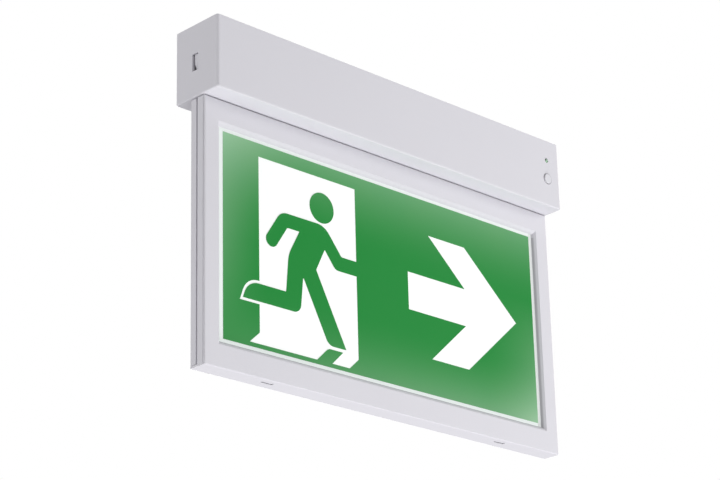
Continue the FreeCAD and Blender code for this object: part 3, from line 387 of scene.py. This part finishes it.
def lit_green_film():
    """Translucent green film lit from its edges: a deep green middle, with white light bleeding in from
    each side, most at the top left and the bottom right."""
    deep_glow = rgb(0.006, 0.080, 0.013)
    film_green = rgb(0.008, 0.165, 0.028)
    material, tree, shader = blank("green_film")
    spot = use(tree, legend_place, {})
    right, above = spot["Right"], spot["Above"]

    def glow(distance, reach, brightness):
        light = use(tree, edge_fall, {"Distance": distance, "Reach": reach})["Light"]
        return calc(tree, "MULTIPLY", light, brightness)

    rise = calc(tree, "MAXIMUM", above, 0.0)
    right_fade = calc(tree, "MAXIMUM", line(tree, above, slope=-1.6, start=0.034), 0.0)
    top = glow(calc(tree, "SUBTRACT", LEGEND_HALF.z, above), reach=58 * MM, brightness=0.12)
    bottom = glow(calc(tree, "ADD", LEGEND_HALF.z, above), reach=48 * MM,
                  brightness=line(tree, right, slope=0.42, start=0.092))
    left_side = glow(calc(tree, "ADD", LEGEND_HALF.x, right),
                     reach=line(tree, rise, slope=0.6, start=45 * MM),
                     brightness=line(tree, above, slope=1.1, start=0.085))
    right_side = glow(calc(tree, "SUBTRACT", LEGEND_HALF.x, right), reach=62 * MM, brightness=right_fade)
    haze = chain(tree, "ADD", top, bottom, left_side, right_side)
    clouds = line(tree, noise(tree, scale=30.0, detail=3.0), slope=0.16, start=0.92)
    white = joined(tree, calc(tree, "MULTIPLY", haze, clouds), haze, haze)
    feed(tree, shader["Emission Color"], blend(tree, 1.0, deep_glow, white, mode="ADD"))
    shader["Emission Strength"].default_value = 1.0
    surface(tree, shader, moulded_skin, {
        "Color": film_green, "Patch Contrast": 0.05, "Patches per Metre": 30.0, "Roughness": 0.34,
        "Sheen Contrast": 0.05, "Grains per Metre": 1600.0, "Grain Strength": 0.04})
    shader["Specular IOR Level"].default_value = 0.03
    return material


def lit_opal():
    """Opal acrylic glowing from behind: full behind the legend, and dimmer in the margin round it, where
    painted shade of the frame's reveal lowers the glow a little along the top and most on the right."""
    legend_white = rgb(0.36, 0.36, 0.36)
    margin_white = rgb(0.20, 0.235, 0.225)
    top_painted_shade, right_fade = 0.12, 0.75
    material, tree, shader = moulded(
        "opal_acrylic", (0.60, 0.62, 0.61), roughness=0.4, patches=20.0, patch_contrast=0.015,
        sheen=0.04, grain=0.03, specular=0.3)
    spot = use(tree, legend_place, {})
    inside = calc(tree, "LESS_THAN", spot["Past Outline"], 0.0)
    clouds = line(tree, noise(tree, scale=24.0), slope=0.04, start=0.98)
    # Painted shade: the margin's glow is lowered along the top and on the right, where the frame's reveal
    # shades it.
    at_top = calc(tree, "GREATER_THAN", spot["Above"], LEGEND_HALF.z)
    at_right = calc(tree, "GREATER_THAN", spot["Right"], LEGEND_HALF.x)
    margin_painted_shade = calc(tree, "MAXIMUM", calc(tree, "MULTIPLY", at_top, top_painted_shade),
                calc(tree, "MULTIPLY", at_right, right_fade))
    margin_light = calc(tree, "MULTIPLY", clouds, calc(tree, "SUBTRACT", 1.0, margin_painted_shade))
    margin = toned(tree, margin_white, margin_light)
    feed(tree, shader["Emission Color"], blend(tree, inside, margin, legend_white))
    shader["Emission Strength"].default_value = 1.0
    return material


def clear_guide():
    """Polished clear acrylic with its grid of moulded light-extraction dots."""
    dots_per_metre = 420.0
    dot_radius = 0.28
    dot_depth = 0.1 * MM
    clear, frosted = rgb(0.90, 0.95, 0.94), rgb(0.97, 0.98, 0.98)
    material, tree, shader = blank("clear_acrylic")
    dots = put(tree, "TexVoronoi", {"Vector": place(tree), "Scale": dots_per_metre, "Randomness": 0.15})
    dot = calc(tree, "LESS_THAN", dots.outputs["Distance"], dot_radius)
    feed(tree, shader["Base Color"], blend(tree, dot, clear, frosted))
    feed(tree, shader["Roughness"], line(tree, dot, slope=0.45, start=0.04))
    feed(tree, shader["Normal"], raised(tree, dot, strength=0.4, depth=dot_depth))
    shader["Transmission Weight"].default_value = 0.85
    shader["IOR"].default_value = 1.49
    return material


# ---------------------------------------------------------------- the white mouldings and their painted shade

def reveal_painted_shade(tree, axes):
    """Painted shade deep in the window's reveal, against the panel, and fainter along the top."""
    starts_at = PANEL_FRONT - 1.9 * MM
    full_at = PANEL_FRONT - 0.9 * MM
    ends_at = PANEL_FRONT + 0.3 * MM
    window_past_legend = 5.4 * MM
    strength_at_sides, strength_at_top = 0.34, 0.08
    spot = use(tree, legend_place, {})
    deep = ramp(tree, axes["Y"], starts_at, full_at)
    in_window = calc(tree, "LESS_THAN", spot["Past Outline"], window_past_legend)
    in_front = calc(tree, "LESS_THAN", axes["Y"], ends_at)
    at_top = calc(tree, "GREATER_THAN", spot["Above"], LEGEND_HALF.z)
    strength = line(tree, at_top, slope=strength_at_top - strength_at_sides, start=strength_at_sides)
    return chain(tree, "MULTIPLY", deep, in_window, in_front, strength)


def button_gap_painted_shade(tree, axes):
    """Painted shade in the gap round the test button."""
    gap_inner, gap_outer = 3.7 * MM, 4.75 * MM
    ends_at = cad_low.y + 2.4 * MM
    strength = 0.36
    low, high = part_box("test_button_cap")
    middle = (low + high) / 2
    across = calc(tree, "POWER", calc(tree, "SUBTRACT", axes["X"], middle.x), 2.0)
    up = calc(tree, "POWER", calc(tree, "SUBTRACT", axes["Z"], middle.z), 2.0)
    away = calc(tree, "SQRT", calc(tree, "ADD", across, up))
    ring = between(tree, away, gap_inner, gap_outer)
    on_front = calc(tree, "LESS_THAN", axes["Y"], ends_at)
    return chain(tree, "MULTIPLY", ring, on_front, strength)


def snap_pocket_painted_shade(tree, axes):
    """Painted shade round the two snap nibs in the sign's lower edge."""
    rim_outside, rim_inside = -0.3 * MM, 0.28 * MM
    starts_at = cad_low.z + 0.05 * MM
    ends_at = cad_low.z + 3.0 * MM
    strength = 0.32
    along = calc(tree, "SUBTRACT", calc(tree, "ABSOLUTE", axes["X"]), SNAP_FROM_MIDDLE)
    inside_end = calc(tree, "SUBTRACT", SNAP_HALF_LENGTH, calc(tree, "ABSOLUTE", along))
    across = calc(tree, "ABSOLUTE", calc(tree, "SUBTRACT", axes["Y"], SNAP_DEPTH))
    inside_edge = calc(tree, "SUBTRACT", SNAP_HALF_WIDTH, across)
    rim = between(tree, calc(tree, "MINIMUM", inside_end, inside_edge), rim_outside, rim_inside)
    recessed = between(tree, axes["Z"], starts_at, ends_at)
    return chain(tree, "MULTIPLY", rim, recessed, strength)


def white_moulding():
    """The satin white of the housing and the sign, with painted shade in its gaps and corners."""
    satin_white = rgb(0.645, 0.635, 0.680)
    material, tree, shader = blank("white_plastic")
    axes = split(tree, place(tree))
    # Painted shade in the window's reveal, in the gap round the test button and round the snap nibs darkens
    # the satin white.
    shade = chain(tree, "MAXIMUM", reveal_painted_shade(tree, axes), button_gap_painted_shade(tree, axes), snap_pocket_painted_shade(tree, axes))
    surface(tree, shader, moulded_skin, {
        "Color": toned(tree, satin_white, calc(tree, "SUBTRACT", 1.0, shade)), "Roughness": 0.52,
        "Patches per Metre": 9.0, "Patch Contrast": 0.035, "Sheen Contrast": 0.10,
        "Grains per Metre": 1900.0, "Grain Strength": 0.12})
    shader["Specular IOR Level"].default_value = 0.4
    return material


# ---------------------------------------------------------------- the lamp and light sources

def lamp_dome():
    """The tinted dome of the charge lamp, its glow painted dark above as painted shade and paler towards
    its lower right rim as painted light.
    """
    pale, dark = rgb(0.20, 0.42, 0.22), rgb(0.0, 0.02, 0.004)
    lean = 0.6
    pale_below, dark_above = 1.3 * MM, 0.1 * MM
    material, tree, shader = moulded(
        "green_lamp", (0.02, 0.12, 0.03), roughness=0.12, patches=400.0, patch_contrast=0.2,
        sheen=0.05, grain=0.02)
    low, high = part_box("indicator_led")
    middle = (low + high) / 2
    axes = split(tree, place(tree))
    # Painted light and shade: the glow runs from pale at the lower right rim to dark above, as light falls
    # on the dome.
    height = calc(tree, "SUBTRACT", axes["Z"], calc(tree, "MULTIPLY", axes["X"], lean))
    centre = middle.z - lean * middle.x
    level = ramp(tree, height, centre - pale_below, centre + dark_above)
    feed(tree, shader["Emission Color"], blend(tree, level, pale, dark))
    shader["Emission Strength"].default_value = 1.0
    shader["Coat Weight"].default_value = 0.6
    shader["Coat Roughness"].default_value = 0.05
    return material


def phosphor():
    """The yellow phosphor of the light sources, with paler specks in it."""
    amber_glow, pale_glow = rgb(0.5, 0.45, 0.25), rgb(0.8, 0.78, 0.6)
    material, tree, shader = moulded(
        "led_phosphor", (0.80, 0.66, 0.16), roughness=0.3, patches=900.0, patch_contrast=0.3, grain=0.1)
    specks = noise(tree, scale=700.0, detail=1.0)
    feed(tree, shader["Emission Color"], blend(tree, specks, amber_glow, pale_glow))
    shader["Emission Strength"].default_value = 0.6
    return material


# ---------------------------------------------------------------- each slot's finish

MOULDINGS = {
    "button_plastic": dict(color=(0.655, 0.65, 0.69), roughness=0.50, patches=120.0, patch_contrast=0.05,
                           grain=0.05, specular=0.35),
    "black_rubber": dict(color=(0.018, 0.018, 0.019), roughness=0.72, patches=180.0, patch_contrast=0.5,
                         sheen=0.2, grains=900.0, grain=0.3),
    "black_plastic": dict(color=(0.014, 0.014, 0.016), roughness=0.52, patches=250.0, patch_contrast=0.4,
                          sheen=0.15, grain=0.2),
    "terminal_plastic": dict(color=(0.56, 0.55, 0.50), roughness=0.32, patches=90.0, patch_contrast=0.06,
                             grain=0.06),
    "connector_plastic": dict(color=(0.66, 0.61, 0.50), roughness=0.30, patches=140.0, patch_contrast=0.10,
                              grain=0.05),
    "fuse_ceramic": dict(color=(0.70, 0.67, 0.58), roughness=0.22, patches=320.0, patch_contrast=0.15,
                         sheen=0.1, grain=0.04),
    "white_sheet": dict(color=(0.80, 0.81, 0.82), roughness=0.62, patches=40.0, patch_contrast=0.04,
                        grains=1400.0, grain=0.08),
    "pad_foam": dict(color=(0.035, 0.036, 0.040), roughness=0.9, patches=500.0, patch_contrast=0.7,
                     sheen=0.1, grains=1200.0, grain=0.9),
}

METALS = {
    "plated_steel": dict(color=(0.60, 0.61, 0.63), roughness=0.30, stretch=0.4, contrast=0.22),
    "aluminium_channel": dict(color=(0.76, 0.77, 0.78), roughness=0.36, stretch=0.02, contrast=0.16),
}

BOARDS = {
    "circuit_board": dict(mask=(0.010, 0.105, 0.030), track=(0.028, 0.190, 0.055), pad=(0.72, 0.70, 0.64),
                          tracks=420.0),
    "white_board": dict(mask=(0.80, 0.80, 0.78), track=(0.72, 0.72, 0.71), pad=(0.78, 0.62, 0.30),
                        tracks=260.0),
}

WRAPPINGS = {
    "transformer_tape": dict(color=(0.62, 0.42, 0.03), lap=(0.36, 0.22, 0.02), turns=190.0, width=0.10,
                             crinkle=0.3),
    "can_sleeve": dict(color=(0.022, 0.028, 0.085), lap=(0.30, 0.31, 0.36), turns=100.0, width=0.16,
                       crinkle=0.1),
    "battery_wrap": dict(color=(0.025, 0.095, 0.26), lap=(0.012, 0.05, 0.15), turns=20.0, width=0.05,
                         crinkle=0.9),
    "low_voltage_wire": dict(color=(0.34, 0.015, 0.012), lap=(0.03, 0.004, 0.004), turns=60.0, width=0.22,
                             crinkle=0.08),
}


def make_finishes():
    """Every finish by its material slot."""
    finishes = {
        "white_plastic": white_moulding(),
        "green_film": lit_green_film(),
        "opal_acrylic": lit_opal(),
        "clear_acrylic": clear_guide(),
        "green_lamp": lamp_dome(),
        "led_phosphor": phosphor(),
    }
    kinds = ((moulding, MOULDINGS), (metal, METALS), (board, BOARDS), (wrapping, WRAPPINGS))
    for make, looks in kinds:
        for slot, look in looks.items():
            finishes[slot] = make(slot, **look)
    return finishes


def finish_parts():
    """Gives every part the finish of its material slot in the record."""
    finishes = make_finishes()
    for row in frame["record"]["subparts"]:
        part = parts[row["node"]]
        part.data.materials.clear()
        part.data.materials.append(finishes[row["material_slot"]])


# ---------------------------------------------------------------- surroundings

FLOOR_DEPTH = 2.1
FLOOR_SIZE = 80.0
FLOOR_SEEN_GLOW = 0.55
PLAIN_WHITE = rgb(1.0, 1.0, 1.0)
ROOM_LIGHT = 0.43
LAMP_AIM = (0.0, 0.0, -0.10)
KEY_LAMP_AIM = (0.0, 0.0, -0.13)
CAMERA_PLACE = (-1.0809, -1.0895, -0.7096)
CAMERA_YAW = math.radians(44.18)
CAMERA_TILT = math.radians(21.13)
CAMERA_ROLL = math.radians(-1.454)


def floor():
    """A plain pale floor well below the hanging sign, which keeps the object's shadow."""
    bpy.ops.mesh.primitive_plane_add(size=FLOOR_SIZE, location=(0.0, 0.0, cad_low.z - FLOOR_DEPTH))
    ground = bpy.context.object
    ground.name = "floor"
    material, tree, shader = blank("floor_paint")
    shade = line(tree, noise(tree, scale=3.0), slope=0.01, start=0.855)
    seen = put(tree, "LightPath").outputs["Is Camera Ray"]
    feed(tree, shader["Base Color"], joined(tree, shade, shade, shade))
    feed(tree, shader["Emission Strength"], calc(tree, "MULTIPLY", seen, FLOOR_SEEN_GLOW))
    shader["Emission Color"].default_value = PLAIN_WHITE
    shader["Roughness"].default_value = 0.9
    shader["Specular IOR Level"].default_value = 0.1
    ground.data.materials.append(material)


def sky():
    """An even soft light from all round, seen as plain white."""
    world = bpy.data.worlds.new("white_studio")
    bpy.context.scene.world = world
    world.use_nodes = True
    tree = world.node_tree
    tree.nodes.clear()
    path = put(tree, "LightPath").outputs
    seen = chain(tree, "MAXIMUM", path["Is Camera Ray"], path["Is Glossy Ray"], path["Is Transmission Ray"])
    level = line(tree, seen, slope=1.0 - ROOM_LIGHT, start=ROOM_LIGHT)
    background = put(tree, "Background", {"Color": PLAIN_WHITE, "Strength": level})
    output = tree.nodes.new("ShaderNodeOutputWorld")
    tree.links.new(background.outputs[0], output.inputs["Surface"])


def soft_lamp(name, position, size, power, aim=LAMP_AIM):
    """A square soft lamp that the camera doesn't see."""
    light = bpy.data.lights.new(name, "AREA")
    light.shape = "SQUARE"
    light.size = size
    light.energy = power
    lamp = bpy.data.objects.new(name, light)
    lamp.location = position
    lamp.rotation_euler = (Vector(aim) - Vector(position)).to_track_quat("-Z", "Y").to_euler()
    lamp.visible_camera = False
    bpy.context.scene.collection.objects.link(lamp)


def lamps():
    """A key lamp at the front right, a stronger one below, and weaker ones at the left, end and back."""
    soft_lamp("key_lamp", (1.25, -1.35, 0.10), size=1.2, power=18.0, aim=KEY_LAMP_AIM)
    soft_lamp("under_lamp", (0.2, -0.47, -2.00), size=1.0, power=27.5)
    soft_lamp("fill_lamp", (-1.3, -1.3, 0.2), size=1.2, power=3.8)
    soft_lamp("side_lamp", (-1.5, 0.45, -0.50), size=0.8, power=7.0)
    soft_lamp("back_lamp", (0.6, 1.7, 0.2), size=1.2, power=14.0)


def camera():
    """The view from below and left of the sign's front, through a long lens."""
    lens = bpy.data.cameras.new("camera")
    lens.sensor_width = 36.0
    lens.lens = 113.4
    lens.clip_end = 50.0
    view = bpy.data.objects.new("camera", lens)
    turn = (Matrix.Rotation(-CAMERA_YAW, 4, "Z") @ Matrix.Rotation(math.pi / 2 + CAMERA_TILT, 4, "X")
            @ Matrix.Rotation(CAMERA_ROLL, 4, "Z"))
    view.matrix_world = Matrix.Translation(CAMERA_PLACE) @ turn
    bpy.context.scene.collection.objects.link(view)
    bpy.context.scene.camera = view


finish_parts()
floor()
sky()
lamps()
camera()
bpy.context.scene.view_settings.view_transform = "Standard"
